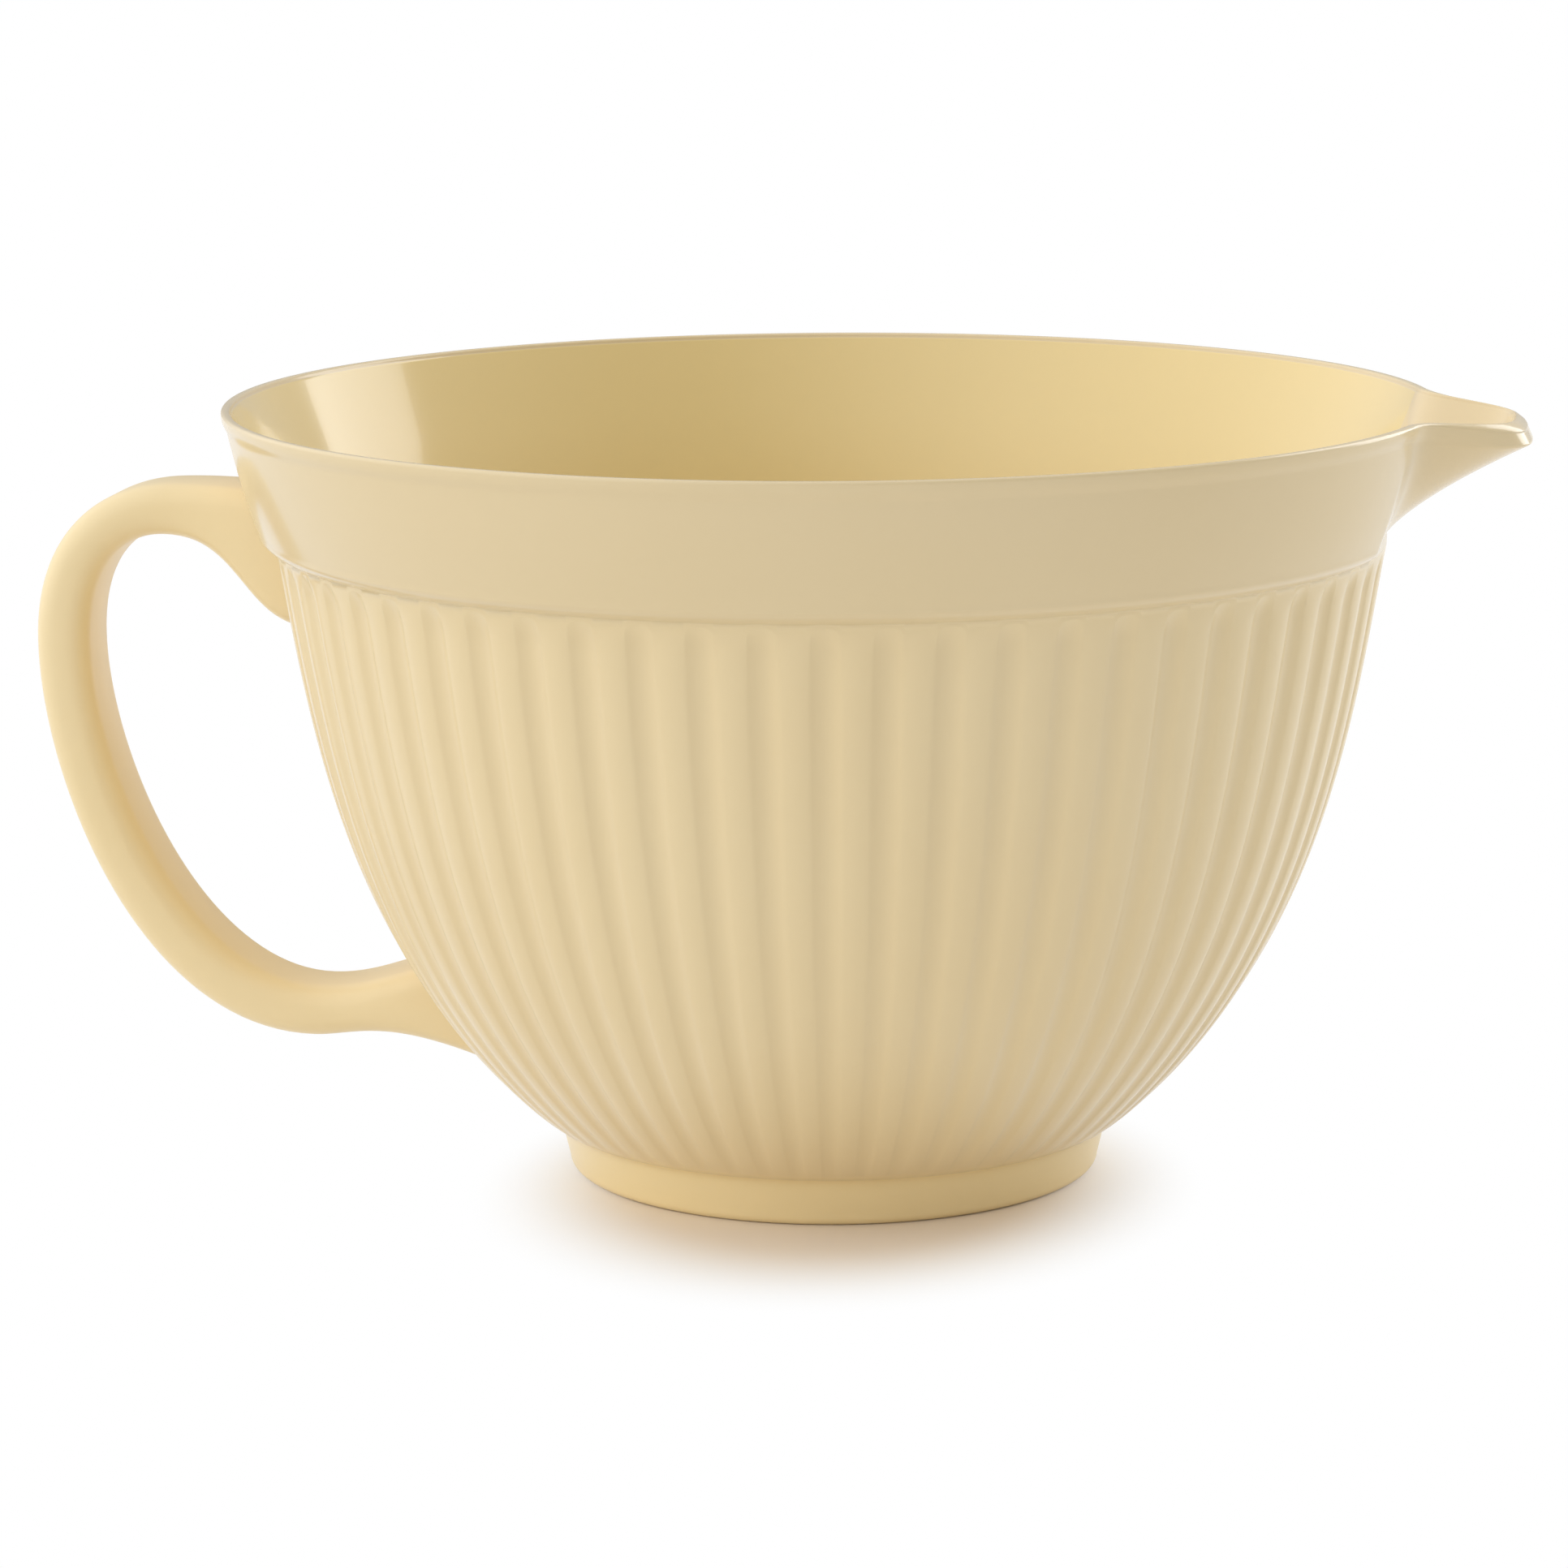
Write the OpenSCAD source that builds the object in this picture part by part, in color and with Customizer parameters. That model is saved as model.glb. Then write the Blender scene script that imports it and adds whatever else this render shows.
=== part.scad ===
// Batter mixing bowl: a fluted wall on a foot ring, a plain collar and lip round the top,
// a pouring spout and a loop handle opposite it. Sizes are in millimetres.
// +X points to the spout, -X to the handle and +Z up.
// The origin is the centre of the foot ring, on the table.

/* [Bowl] */
// Outer diameter of the rim
rim_d = 240; // [204:1:288]
// Height of the rim above the table
bowl_h = 154.5; // [130:0.5:186]
// Height of the lip at the rim
lip_h = 3.9; // [3.2:0.1:4.7]
// Height of the plain collar below the lip
collar_h = 26.1; // [21:0.1:32]
// How far the top of the fluted wall lies inside the rim
wall_inset = 10.6; // [8.8:0.1:12.8]
// How far the collar stands out from the fluted wall at its lower edge
collar_step = 2.6; // [2.1:0.1:3.2]
// Thickness of the fluted wall, measured level from its ridges
wall_t = 3.2; // [2.6:0.1:3.9]
// Thickness of the rim
rim_t = 1.8; // [1.5:0.1:2.2]
// Thickness of the floor
floor_t = 3; // [2.5:0.1:3.6]

/* [Foot] */
// Outer diameter of the foot ring on the table
foot_d = 103; // [86:1:112]
// Height of the foot ring
foot_h = 9.6; // [8:0.1:11.6]
// Width of the foot ring's flat face
foot_face = 2.6; // [2:0.1:4]
// How much wider the foot ring is at its top, on the radius
foot_flare = 2; // [1:0.1:3]

/* [Flutes] */
// Number of flutes round the wall
flute_count = 60; // [48:4:72]
// Depth of the flutes at their tops
flute_depth = 1.1; // [0.7:0.1:1.4]
// Share of the way round that the ridges between the flutes take
ridge_share = 0.48; // [0.4:0.02:0.58]
// Angle from the spout's middle to the nearest ridge's middle
flute_turn = -1.25; // [-3:0.25:3]

/* [Spout] */
// How far the spout reaches out from the rim
spout_reach = 17.6; // [14:0.1:21.2]
// How far the tip of the spout dips below the rim
spout_dip = 3.3; // [2:0.1:4]
// Half the angle that the spout spans at the rim
spout_half = 9.2; // [7.7:0.1:11.1]

/* [Handle] */
// How far the grip reaches out from the rim
handle_reach = 41.8; // [35:0.1:51]
// Thickness of the grip between its outer and inner faces
grip_t = 11; // [9:0.1:13.5]
// Width of the grip across the hand
grip_w = 20; // [16:0.5:24]
// Radius of the grip's long edges
grip_edge = 4; // [3:0.1:4.4]
// Depth of the top of the handle below the rim
handle_drop = 18; // [15:0.5:22]
// Height of the underside of the handle above the table
handle_low = 23.6; // [19:0.1:28.4]
// Height of the upper root where it meets the bowl
root_h = 28.5; // [23:0.5:34.5]

/* [Hidden] */
$fn = 180;

cream = [0.92, 0.84, 0.64];
cream_inside = [0.89, 0.79, 0.55];
cream_handle = [0.93, 0.84, 0.62];

rim_r = rim_d / 2;
foot_r = foot_d / 2;
collar_top_z = bowl_h - lip_h;
wall_top_z = collar_top_z - collar_h;
wall_top_r = rim_r - wall_inset;
wall_run = wall_top_z - foot_h;
// The wall leans outwards by this much for each unit of height at its top.
wall_lean = 0.162;
// The wall's lower end stands this far outside the foot ring.
wall_base_r = foot_r + foot_flare + 2.7;
wall_drop = wall_top_r - wall_base_r - wall_lean * wall_run;

// How soon the lower end of the wall starts to turn in, and how tightly it ends.
turn_power = 3;
end_power = 0.868;
// Outer radius of the wall's ridges at height z: a straight lean and a rounded lower end.
function ridge_r(z) =
    let (down = max(0, min(1, (wall_top_z - z) / wall_run)))
    wall_top_r - wall_lean * (wall_top_z - z)
    - wall_drop * (1 - pow(1 - pow(down, turn_power), end_power));
// Inner radius of the fluted wall at height z.
function inner_r(z) = ridge_r(z) - wall_t;
// Heights of the wall's rows, closer together near the foot where it curves most.
wall_rows = 16;
row_power = 1.5;
function row_z(i) = foot_h + wall_run * pow(i / wall_rows, row_power);
// The flutes start at nothing at the foot, are full half way up and end in a short arch.
full_share = 0.5;
arch_h = 4;
function depth_at(z) =
    flute_depth * min(1, (z - foot_h) / (wall_run * full_share)) * min(1, (wall_top_z - z) / arch_h);

// Radius of the bowl's inside at height z above the fluted wall: a plain cone.
mouth_r = rim_r - rim_t;
function cone_r(z) =
    inner_r(wall_top_z) + (mouth_r - inner_r(wall_top_z)) * (z - wall_top_z) / (bowl_h - wall_top_z);

// Outside of the collar, from its rounded lower edge up, as [radius, height].
edge_r = wall_top_r + collar_step;
neck_r = rim_r - 1.1;
edge_rise = 2.9;
edge_start = 0.3;
collar_bulge = 0.3;
collar_out = concat(
    [for (a = [0:15:90])
        [wall_top_r + edge_start + (collar_step - edge_start) * sin(a),
         wall_top_z + edge_rise * (1 - cos(a))]],
    [for (t = [0.2:0.2:1])
        [edge_r + (neck_r - edge_r) * (t + collar_bulge * t * (1 - t)),
         wall_top_z + edge_rise + (collar_h - edge_rise) * t]]);
// Outside of the lip: it flares, stands up straight and is rounded over at the top.
lip_round = 0.6;
lip_out = [
    [neck_r, collar_top_z],
    [neck_r + 0.7, collar_top_z + lip_h * 0.38],
    [rim_r, collar_top_z + lip_h * 0.75],
    [rim_r, bowl_h - lip_round]];
lip_top = concat(
    [for (a = [0:30:90]) [rim_r - lip_round * (1 - cos(a)), bowl_h - lip_round * (1 - sin(a))]],
    [for (a = [90:30:180]) [mouth_r + lip_round * (1 + cos(a)), bowl_h - lip_round * (1 - sin(a))]]);

// The solid bounded by the bowl's outside, used to seat the handle's roots on it.
module bowl_outside() {
    rotate_extrude()
    polygon(concat(
        [[0, 0], [foot_r, 0], [wall_base_r, foot_h]],
        [for (i = [0:wall_rows]) [ridge_r(row_z(i)), row_z(i)]],
        collar_out,
        [[neck_r, bowl_h], [0, bowl_h]]));
}

// ---- bowl ----

// Each flute is a groove beside a flat-topped ridge: three points a flute round every row,
// at the ridge's two edges and the bottom of the groove.
flute_stops = [-ridge_share / 2, ridge_share / 2, 0.5];
module fluted_wall() {
    around = 3 * flute_count;
    outer = [for (i = [0:wall_rows]) for (k = [0:around - 1])
        let (z = row_z(i), a = flute_turn + 360 * (floor(k / 3) + flute_stops[k % 3]) / flute_count,
             r = ridge_r(z) - (k % 3 == 2 ? depth_at(z) : 0))
        [r * cos(a), r * sin(a), z]];
    sides = [for (i = [0:wall_rows - 1]) for (k = [0:around - 1])
        let (n = (k + 1) % around, low = i * around, high = low + around)
        each [[low + k, high + k, high + n], [low + k, high + n, low + n]]];
    bottom = [[for (k = [0:around - 1]) k]];
    top = [[for (k = [around - 1:-1:0]) wall_rows * around + k]];
    color(cream)
    difference() {
        polyhedron(points = outer, faces = concat(bottom, sides, top));
        rotate_extrude()
        polygon(concat(
            [[0, foot_h - 1], [floor_r, foot_h - 1], [floor_r, foot_h + floor_t],
             [inner_r(foot_h + floor_t), foot_h + floor_t]],
            [for (i = [5:wall_rows]) [inner_r(row_z(i)), row_z(i)]],
            [[inner_r(wall_top_z), wall_top_z + 1], [0, wall_top_z + 1]]));
    }
}

floor_r = wall_base_r - wall_t;
module bowl_floor() {
    color(cream_inside)
    translate([0, 0, foot_h])
    cylinder(h = floor_t, r = floor_r);
}

foot_edge = 0.8;
module foot_ring() {
    inner = foot_r - 2 * foot_edge - foot_face;
    color(cream)
    rotate_extrude()
    polygon([
        [inner + foot_edge, 0], [foot_r - foot_edge, 0],
        [foot_r - foot_edge * 0.3, foot_edge * 0.3], [foot_r, foot_edge],
        [foot_r + foot_flare, foot_h], [inner, foot_h], [inner, foot_edge]]);
}

// ---- rim ----

// The angle on each side of the spout's middle where the collar and lip give way to it.
spout_edge = 1.6 * spout_half;

// A ring with the spout's sector left out.
module open_ring() {
    rotate([0, 0, spout_edge])
    rotate_extrude(angle = 360 - 2 * spout_edge)
    children();
}

module rim_collar() {
    color(cream)
    open_ring()
    polygon(concat(collar_out, [[cone_r(collar_top_z), collar_top_z], [inner_r(wall_top_z), wall_top_z]]));
}

module rim_lip() {
    color(cream)
    open_ring()
    polygon(concat(
        lip_out,
        [for (i = [1:len(lip_top) - 1]) lip_top[i]],
        [[cone_r(collar_top_z), collar_top_z]]));
}

// ---- spout ----

function smooth(t) = let (u = max(0, min(1, t))) u * u * (3 - 2 * u);
// Height of a row as a share of the way from the wall's top to the rim.
function rise(z) = (z - wall_top_z) / (bowl_h - wall_top_z);
// A bump of height 1 in the spout's middle that falls past half an angle each side,
// and is exactly 0 at the spout's ends.
bump_power = 3.65;
end_fade = 2;
function bump(a, half) =
    exp(-pow(abs(a) / half, bump_power)) * smooth((spout_edge - abs(a)) / end_fade);
// Half angle of the spout at height z: narrow at the start of a slope, spout_half at its end.
function half_at(z, narrow, end_z) =
    spout_half * (narrow + (1 - narrow) * rise(z) / rise(end_z));
// How far the spout has opened at height z: from 0 low on the collar to 1 at the lip.
spout_foot = 0.18;
opening_power = 1.4;
function opening(z) =
    pow(max(0, min(1, (rise(z) - spout_foot) / (rise(collar_top_z) - spout_foot))), opening_power);
// Share of the spout's width that is left at the foot of its outside.
foot_narrow = 0.5;
// The collar's step is taken away over this many times the spout's half angle.
step_span = 1.25;
// The lower edge of the lip at the spout's tip reaches further out than the upper edge.
tip_lead = 1.5;
// How much of its step the collar's rounded lower edge has reached at height z.
function edge_share(z) =
    let (s = max(0, min(1, (z - wall_top_z) / edge_rise)))
    sqrt(s * (2 - s));
// How far the spout pushes out a row at height z, at angle a from its middle.
// Low down it takes away the collar's step, and above that it opens towards the rim.
function push(a, z) =
    (spout_reach + tip_lead) * opening(z) * bump(a, half_at(z, foot_narrow, bowl_h))
    - (collar_step - edge_start) * edge_share(z) * (1 - opening(z)) * bump(a, step_span * spout_half);
// How far the spout sinks a row at height z.
function sink(a, z) = spout_dip * pow(rise(z), 2) * bump(a, spout_half);

// Rows of the spout's outside, from the wall's top to the lip's upper edge.
spout_rows = concat(collar_out, [for (i = [1:3]) lip_out[i]]);
row_count = len(spout_rows);
// The lip stands straight up at the spout, where the wall under it leans out.
lip_back = 1.4;
lip_upright = [for (p = spout_rows)
    max(0, p[0] - neck_r) + lip_back * max(0, (p[1] - collar_top_z) / lip_h)];
// The lip's outer edge at the tip lies this much further in than the spout's reach.
tip_edge = 0.7;
// The same for the lip's inner edge.
tip_back = 1.4;
// The lip's inner edge at the tip dips less than its outer edge by this much.
tip_lift = 1.9;
inside_top = bowl_h - 2 * lip_round;
// Where the channel on the inside starts and is fully open, as shares of the height.
channel_foot = 0.25;
channel_full = 0.82;
channel_power = 1.1;
channel_narrow = 0.4;
// How far the channel on the inside is pushed out at height z, at angle a from the middle.
function channel(a, z) =
    let (open = max(0, min(1, (rise(z) - channel_foot) / (channel_full - channel_foot))))
    (spout_reach - tip_back) * pow(open, channel_power) * bump(a, half_at(z, channel_narrow, inside_top));

// Cross-section of the spout at angle a from its middle, as [radius, height].
function spout_section(a) = concat(
    [for (i = [0:row_count - 1]) let (p = spout_rows[i])
        [p[0] + push(a, p[1]) - lip_upright[i] * bump(a, spout_half), p[1] - sink(a, p[1])]],
    [for (i = [1:len(lip_top) - 1])
        let (p = lip_top[i], t = i / (len(lip_top) - 1), w = bump(a, spout_half),
             reach = spout_reach - tip_edge - (tip_back - tip_edge) * t)
        [p[0] + reach * w, p[1] - (spout_dip - tip_lift * t) * w]],
    [for (i = [row_count - 1:-1:0])
        let (z = min(spout_rows[i][1], inside_top), h = rise(z))
        [cone_r(z) + channel(a, z), z - (spout_dip - tip_lift) * h * h * bump(a, spout_half)]]);

module pouring_spout() {
    steps = 32;
    angles = [for (j = [0:steps]) spout_edge * (2 * j / steps - 1)];
    sections = [for (a = angles) spout_section(a)];
    n = len(sections[0]);
    points = [for (j = [0:steps]) for (p = sections[j]) [p[0] * cos(angles[j]), p[0] * sin(angles[j]), p[1]]];
    sides = [for (j = [0:steps - 1]) for (i = [0:n - 1])
        let (m = (i + 1) % n, near = j * n, far = near + n)
        each [[near + i, near + m, far + m], [near + i, far + m, far + i]]];
    // Each end is a strip between the outside and the inside, closed over the lip's top.
    strip = [for (i = [0:row_count - 2]) let (q = n - 1 - i)
        each [[i, q, q - 1], [i, q - 1, i + 1]]];
    crown = [[for (i = [n - row_count:-1:row_count - 1]) i]];
    first = concat(strip, crown);
    last = [for (f = first) [for (i = [len(f) - 1:-1:0]) steps * n + f[i]]];
    color(cream)
    polyhedron(points = points, faces = concat(first, sides, last));
}

// ---- handle ----

// A point on a cubic curve through p[0] and p[3], drawn towards p[1] and p[2].
function curve(p, t) =
    pow(1 - t, 3) * p[0] + 3 * t * pow(1 - t, 2) * p[1] + 3 * t * t * (1 - t) * p[2] + pow(t, 3) * p[3];

// The handle's outer and inner edges as curves of [distance from the axis, height].
hold_r = rim_r + handle_reach;
top_z = bowl_h - handle_drop;
wide_z = (top_z + handle_low) / 2 + 24;
shoulder_r = rim_r + 15;
heel_r = rim_r - 14;
seat_z = top_z - root_h;
seat_r = ridge_r(seat_z) - wall_t;
toe_z = handle_low - 6.5;
toe_r = ridge_r(toe_z) - wall_t;
heel_z = handle_low + grip_t - 0.5;

upper_out = [[seat_r, top_z - 1.8], [rim_r - 4, top_z - 0.6], [rim_r + 6, top_z + 0.5], [shoulder_r, top_z]];
upper_in = [[seat_r, seat_z], [rim_r - 1.5, seat_z], [rim_r - 2, top_z - grip_t + 0.7],
            [shoulder_r, top_z - grip_t + 0.7]];
front_out = [upper_out[3], [shoulder_r + 15, top_z - 1.1], [hold_r, wide_z + 20.5], [hold_r, wide_z]];
front_in = [upper_in[3], [shoulder_r + 9.5, top_z - grip_t + 0.7], [hold_r - grip_t, wide_z + 14.5],
            [hold_r - grip_t, wide_z]];
back_out = [front_out[3], [hold_r, wide_z - 30], [heel_r + 36, handle_low], [heel_r, handle_low]];
back_in = [front_in[3], [hold_r - grip_t, wide_z - 26], [heel_r + 26, heel_z], [heel_r - 1.5, heel_z]];
lower_out = [back_out[3], [heel_r - 9, handle_low], [heel_r - 16, handle_low + 5.5], [toe_r, toe_z]];
lower_in = [back_in[3], [heel_r - 9, heel_z], [heel_r - 14, heel_z + 1.9], [heel_r - 26, heel_z + 5.9]];

// Ring of the handle's section between an outer and an inner point: a rounded oblong.
ring_corner = 4;
function handle_ring(outer, inner, width) =
    let (thick = norm(outer - inner), along = (outer - inner) / thick, middle = (outer + inner) / 2,
         edge = min(grip_edge, thick * 0.42))
    [for (q = [0:3]) for (k = [0:ring_corner])
        let (a = 90 * (q + k / ring_corner), su = (q == 0 || q == 3) ? 1 : -1, sv = (q < 2) ? 1 : -1,
             u = su * (thick / 2 - edge) + edge * cos(a), v = sv * (width / 2 - edge) + edge * sin(a),
             p = middle + along * u)
        [-p[0], v, p[1]]];

// A length of the handle between two pairs of curves, with its width running from w0 to w1.
module handle_length(outers, inners, w0, w1, steps) {
    count = len(outers);
    rings = [for (s = [0:count - 1]) for (i = [(s == 0 ? 0 : 1):steps])
        let (t = i / steps, whole = (s + t) / count)
        handle_ring(curve(outers[s], t), curve(inners[s], t), w0 + (w1 - w0) * whole)];
    n = len(rings[0]);
    sides = [for (j = [0:len(rings) - 2]) for (i = [0:n - 1])
        let (m = (i + 1) % n, near = j * n, far = near + n)
        each [[near + i, far + i, far + m], [near + i, far + m, near + m]]];
    first = [[for (i = [0:n - 1]) i]];
    last = [[for (i = [n - 1:-1:0]) (len(rings) - 1) * n + i]];
    polyhedron(points = [for (r = rings) each r], faces = concat(first, sides, last));
}

root_w = grip_w + 4;
module handle_upper_root() {
    color(cream_handle)
    difference() {
        handle_length([upper_out], [upper_in], root_w, grip_w, 10);
        bowl_outside();
    }
}

module handle_grip() {
    color(cream_handle)
    handle_length([front_out, back_out], [front_in, back_in], grip_w, grip_w, 14);
}

module handle_lower_root() {
    color(cream_handle)
    difference() {
        handle_length([lower_out], [lower_in], grip_w, root_w, 8);
        bowl_outside();
    }
}

fluted_wall();
bowl_floor();
foot_ring();
rim_collar();
rim_lip();
pouring_spout();
handle_upper_root();
handle_grip();
handle_lower_root();
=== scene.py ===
"""Looks of the batter bowl: a fluted wall on a foot ring, a plain collar and lip,
a pouring spout and a loop handle, in pale cream moulded plastic."""
import math
import bpy
import numpy as np
from mathutils import Matrix, Vector


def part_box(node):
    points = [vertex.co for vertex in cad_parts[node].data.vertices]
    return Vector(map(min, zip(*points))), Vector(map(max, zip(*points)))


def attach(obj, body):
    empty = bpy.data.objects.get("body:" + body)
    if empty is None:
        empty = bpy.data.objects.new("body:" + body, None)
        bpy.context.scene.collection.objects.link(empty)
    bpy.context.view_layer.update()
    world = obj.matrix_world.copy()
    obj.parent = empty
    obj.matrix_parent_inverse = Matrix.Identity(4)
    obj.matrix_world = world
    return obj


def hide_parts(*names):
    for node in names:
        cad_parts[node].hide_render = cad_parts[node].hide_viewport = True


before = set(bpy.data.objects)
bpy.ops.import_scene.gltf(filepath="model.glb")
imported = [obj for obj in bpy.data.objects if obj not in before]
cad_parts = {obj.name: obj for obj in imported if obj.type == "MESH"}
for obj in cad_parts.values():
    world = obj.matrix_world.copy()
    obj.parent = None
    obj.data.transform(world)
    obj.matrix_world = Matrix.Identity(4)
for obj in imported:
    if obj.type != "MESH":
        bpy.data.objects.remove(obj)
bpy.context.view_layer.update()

MM = 0.001


def in_mm(node):
    """Lowest and highest corner of a CAD node, in millimetres."""
    low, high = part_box(node)
    return [round(v / MM, 2) for v in low], [round(v / MM, 2) for v in high]


# ---- sizes, in millimetres, with the overall ones read from the frame ----

lip_box, collar_box, wall_box = in_mm("rim_lip"), in_mm("rim_collar"), in_mm("fluted_wall")
floor_box, grip_box = in_mm("bowl_floor"), in_mm("handle_grip")
BOWL_H = lip_box[1][2]
RIM_R = -lip_box[0][0]
COLLAR_TOP = lip_box[0][2]
CONE_FOOT = collar_box[0][2]
EDGE_LIFT = 2.7
WALL_TOP = CONE_FOOT + EDGE_LIFT
FOOT_H = floor_box[0][2]
FLOOR_TOP = floor_box[1][2]
HOLD_R = -grip_box[0][0]
HANDLE_TOP = grip_box[1][2]
HANDLE_LOW = grip_box[0][2]
LIP_H = BOWL_H - COLLAR_TOP
COLLAR_H = COLLAR_TOP - WALL_TOP

# foot
FOOT_R = 53.4
FOOT_FLARE = 1.8
FOOT_EDGE = 2.0
FOOT_FACE = 2.1
# wall
WALL_T = 3.2
WALL_LEAN = 0.162
WALL_R = -wall_box[0][0] + WALL_LEAN * EDGE_LIFT
WALL_BASE_R = 56.2
TURN_POWER = 3.1
END_POWER = 0.868
# flutes
FLUTES = 60
FLUTE_DEPTH = 1.35
RIDGE_SHARE = 0.48
FLUTE_TURN = -1.25
# rim
COLLAR_STEP = 3.18
EDGE_START = 0.0
EDGE_RISE = 2.9
EDGE_SLOPE = 0.5
NECK_R = RIM_R - 1.1
COLLAR_BULGE = 0.3
RIM_T = 1.8
LIP_ROUND = 0.6
MOUTH_R = RIM_R - RIM_T
# spout
SPOUT_HALF = 9.2
SPOUT_EDGE = 1.6 * SPOUT_HALF
SPOUT_REACH = 17.6
SPOUT_DIP = 3.3
BUMP_POWER = 3.65
END_FADE = 2.0
SPOUT_FOOT = 0.18
OPENING_POWER = 1.4
FOOT_NARROW = 0.5
STEP_SPAN = 1.25
TIP_LEAD = 1.5
LIP_BACK = 1.4
TIP_EDGE = 0.7
TIP_BACK = 1.4
TIP_LIFT = 1.9
CHANNEL_FOOT = 0.25
CHANNEL_FULL = 0.82
CHANNEL_POWER = 1.1
CHANNEL_NARROW = 0.4
INSIDE_TOP = BOWL_H - 2 * LIP_ROUND
# handle
GRIP_T = 11.0
GRIP_W = 20.0
GRIP_EDGE = 4.6
ROOT_W = 24.0
ROOT_H = 28.5


def smooth(t):
    """0 below 0, 1 above 1 and a soft S between."""
    u = np.clip(t, 0.0, 1.0)
    return u * u * (3.0 - 2.0 * u)


def round_in(t):
    """A quarter of a circle: rises steeply from 0 and levels out at 1."""
    u = np.clip(t, 0.0, 1.0)
    return np.sqrt(u * (2.0 - u))


def level_out(t):
    """Rises evenly from 0 and levels out at 1."""
    u = np.clip(t, 0.0, 1.0)
    return u * (2.0 - u)


def bezier(points, t):
    """Cubic curve through the first and last of four points, drawn towards the other two."""
    p = np.asarray(points, float)
    t = np.asarray(t, float)[:, None]
    return ((1 - t) ** 3 * p[0] + 3 * t * (1 - t) ** 2 * p[1]
            + 3 * t * t * (1 - t) * p[2] + t ** 3 * p[3])


# ---- the bowl's outline, as radius and height ----

wall_run = WALL_TOP - FOOT_H
wall_drop = WALL_R - WALL_BASE_R - WALL_LEAN * wall_run


def ridge_r(z):
    """Radius of the ridges: a straight lean at the top and a rounded turn to the foot."""
    down = np.clip((WALL_TOP - z) / wall_run, 0.0, 1.0)
    return (WALL_R - WALL_LEAN * (WALL_TOP - z)
            - wall_drop * (1 - (1 - down ** TURN_POWER) ** END_POWER))


def rise(z):
    """Height as a share of the way from the cone's foot to the rim."""
    return (z - CONE_FOOT) / (BOWL_H - CONE_FOOT)


INNER_LOW_Z = 18.6
INNER_BEND_LOW = 114.0
INNER_BEND_HIGH = 138.0
cone_foot_r = float(ridge_r(CONE_FOOT)) - WALL_T
cone_slope = (MOUTH_R - cone_foot_r) / (BOWL_H - CONE_FOOT)


def inside_r(z):
    """Radius of the inside: level with the wall below, a cone at the rim, one soft bend between."""
    z = np.asarray(z, float)
    low_r = ridge_r(INNER_BEND_LOW) - WALL_T
    low_slope = ridge_r(INNER_BEND_LOW + 0.5) - ridge_r(INNER_BEND_LOW - 0.5)
    high_r = cone_foot_r + cone_slope * (INNER_BEND_HIGH - CONE_FOOT)
    run = INNER_BEND_HIGH - INNER_BEND_LOW
    t = np.clip((z - INNER_BEND_LOW) / run, 0.0, 1.0)
    bend = ((2 * t ** 3 - 3 * t * t + 1) * low_r + (t ** 3 - 2 * t * t + t) * run * low_slope
            + (3 * t * t - 2 * t ** 3) * high_r + (t ** 3 - t * t) * run * cone_slope)
    wall = ridge_r(z) - WALL_T
    cone = cone_foot_r + cone_slope * (z - CONE_FOOT)
    return np.where(z < INNER_BEND_LOW, wall, np.where(z > INNER_BEND_HIGH, cone, bend))


def arc(r, z, radius, start, end, count):
    """Points on an arc of the outline about (r, z), from one angle to another, in degrees."""
    a = np.radians(np.linspace(start, end, count))
    return np.column_stack([r + radius * np.cos(a), z + radius * np.sin(a)])


foot_inner = FOOT_R - 2 * FOOT_EDGE - FOOT_FACE
hollow_corner = 1.2
underside = np.vstack([
    [[0.0, FOOT_H], [6.0, FOOT_H], [20.0, FOOT_H], [34.0, FOOT_H], [43.0, FOOT_H]],
    arc(foot_inner - hollow_corner, FOOT_H - hollow_corner, hollow_corner, 90, 0, 6)[:-1]])
foot_side_z = np.linspace(FOOT_EDGE, 8.0, 7)[1:]
foot_side = np.column_stack([FOOT_R + FOOT_FLARE * (foot_side_z - FOOT_EDGE) / (FOOT_H - FOOT_EDGE),
                             foot_side_z])
WALL_FOOT_Z = 10.75
wall_foot_r = float(ridge_r(WALL_FOOT_Z))
foot_turn = bezier([foot_side[-1], [55.35, 9.7], [56.2, 9.9], [wall_foot_r, WALL_FOOT_Z]],
                   np.linspace(0, 1, 11))[1:]
foot_part = np.vstack([
    [[foot_inner, FOOT_H - hollow_corner], [foot_inner, 4.5]],
    arc(foot_inner + FOOT_EDGE, FOOT_EDGE, FOOT_EDGE, 180, 270, 6),
    arc(FOOT_R - FOOT_EDGE, FOOT_EDGE, FOOT_EDGE, 270, 360, 7),
    foot_side, foot_turn[:5]])

# The wall's rows. The last ones lie close together, for the arches at the flutes' tops.
ARCH_TOP = WALL_TOP - 0.75
ARCH_SIDE = 3.4
ARCH_LEN = 4.5
ARCH_POWER = 2.6
wall_z = np.concatenate([
    np.linspace(11.3, 20.0, 11), np.linspace(21.5, 34.0, 9), np.linspace(37.0, 115.0, 25),
    ARCH_TOP - np.array([6.5, 5.0, 3.9, 3.1, 2.5, 2.0, 1.55, 1.15, 0.8, 0.5, 0.28, 0.12, 0.03, 0.0]),
    np.linspace(ARCH_TOP, WALL_TOP, 4)[1:-1]])
wall_part = np.vstack([foot_turn[5:], np.column_stack([ridge_r(wall_z), wall_z])])

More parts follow.
